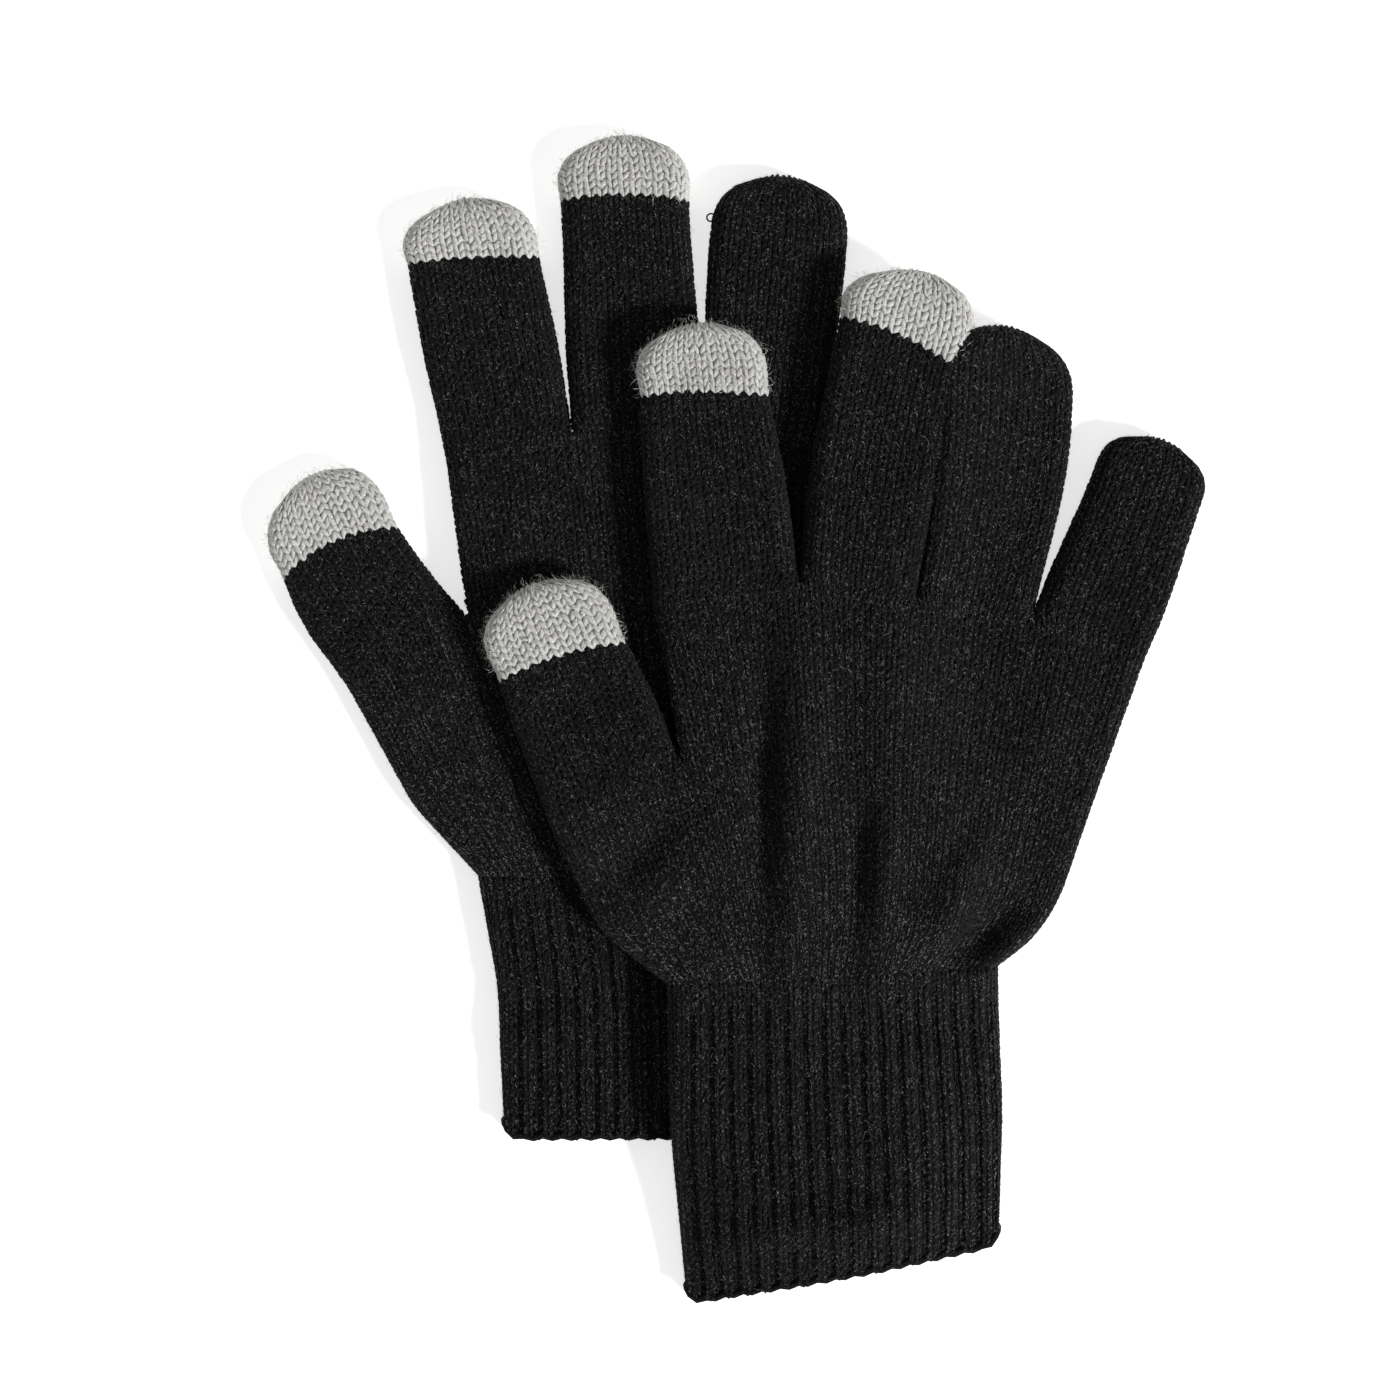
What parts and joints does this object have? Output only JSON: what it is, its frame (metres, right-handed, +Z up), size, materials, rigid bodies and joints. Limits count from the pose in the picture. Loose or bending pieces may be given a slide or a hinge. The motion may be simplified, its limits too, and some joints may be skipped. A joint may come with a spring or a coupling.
{
  "type": "touchscreen gloves",
  "caption": "Pair of stretch-knit gloves lying flat, one over the other, with pale conductive thumb, index and middle fingertips and ribbed cuffs.",
  "frame": {"origin": "centre of the pair's bounding box, on the table", "axes": "+Z up from the table, +Y from the cuffs towards the fingertips, +X across the hands towards the little fingers"},
  "size_m": [0.1943, 0.2457, 0.0183],
  "materials": {
    "black_yarn": "matte plain knit",
    "black_rib": "matte 1x1 rib knit",
    "hem_yarn": "matte bound-off edge",
    "conductive_yarn": "soft pale knit",
    "elastic_thread": "matte covered elastic"
  },
  "bodies": {
    "rear_hand": {"rear_palm": "black_yarn", "rear_cuff": "black_rib", "rear_cuff_hem": "hem_yarn", "rear_cuff_elastics": "elastic_thread", "rear_middle": "black_yarn", "rear_middle_tip": "conductive_yarn", "rear_ring": "black_yarn", "rear_little": "black_yarn"},
    "rear_index": {"rear_index": "black_yarn", "rear_index_tip": "conductive_yarn"},
    "rear_thumb": {"rear_thumb": "black_yarn", "rear_thumb_tip": "conductive_yarn"},
    "front_hand": {"front_palm": "black_yarn", "front_cuff": "black_rib", "front_cuff_hem": "hem_yarn", "front_cuff_elastics": "elastic_thread"},
    "front_thumb": {"front_thumb": "black_yarn", "front_thumb_tip": "conductive_yarn"},
    "front_index": {"front_index": "black_yarn", "front_index_tip": "conductive_yarn"},
    "front_middle": {"front_middle": "black_yarn", "front_middle_tip": "conductive_yarn"},
    "front_ring": {"front_ring": "black_yarn"},
    "front_little": {"front_little": "black_yarn"}
  },
  "joints": [
    {"name": "front_glove_lift", "type": "slide", "parent": "rear_hand", "child": "front_hand", "axis": [0, 0, 1], "range_m": [0, 0.06]},
    {"name": "rear_thumb_flex", "type": "hinge", "parent": "rear_hand", "child": "rear_thumb", "pos_m": [-0.06855, 0.01205, 0.009], "axis": [0.8637, 0.5041, 0], "range_deg": [0, 60]},
    {"name": "rear_index_flex", "type": "hinge", "parent": "rear_hand", "child": "rear_index", "pos_m": [-0.04735, 0.0553, 0.009], "axis": [0.9796, 0.2011, 0], "range_deg": [0, 60]},
    {"name": "front_thumb_flex", "type": "hinge", "parent": "front_hand", "child": "front_thumb", "pos_m": [-0.02445, -0.0177, 0.0183], "axis": [0.9214, 0.3887, 0], "range_deg": [0, 60]},
    {"name": "front_index_flex", "type": "hinge", "parent": "front_hand", "child": "front_index", "pos_m": [-0.00145, 0.024, 0.0183], "axis": [0.9922, 0.1244, 0], "range_deg": [0, 60]},
    {"name": "front_middle_flex", "type": "hinge", "parent": "front_hand", "child": "front_middle", "pos_m": [0.02565, 0.0236, 0.0183], "axis": [0.982, -0.189, 0], "range_deg": [0, 60]},
    {"name": "front_ring_flex", "type": "hinge", "parent": "front_hand", "child": "front_ring", "pos_m": [0.05074, 0.0193, 0.01629], "axis": [0.9734, -0.1664, -0.1577], "range_deg": [0, 60]},
    {"name": "front_little_flex", "type": "hinge", "parent": "front_hand", "child": "front_little", "pos_m": [0.07324, 0.01265, 0.01264], "axis": [0.9086, -0.3909, -0.1472], "range_deg": [0, 60]}
  ]
}
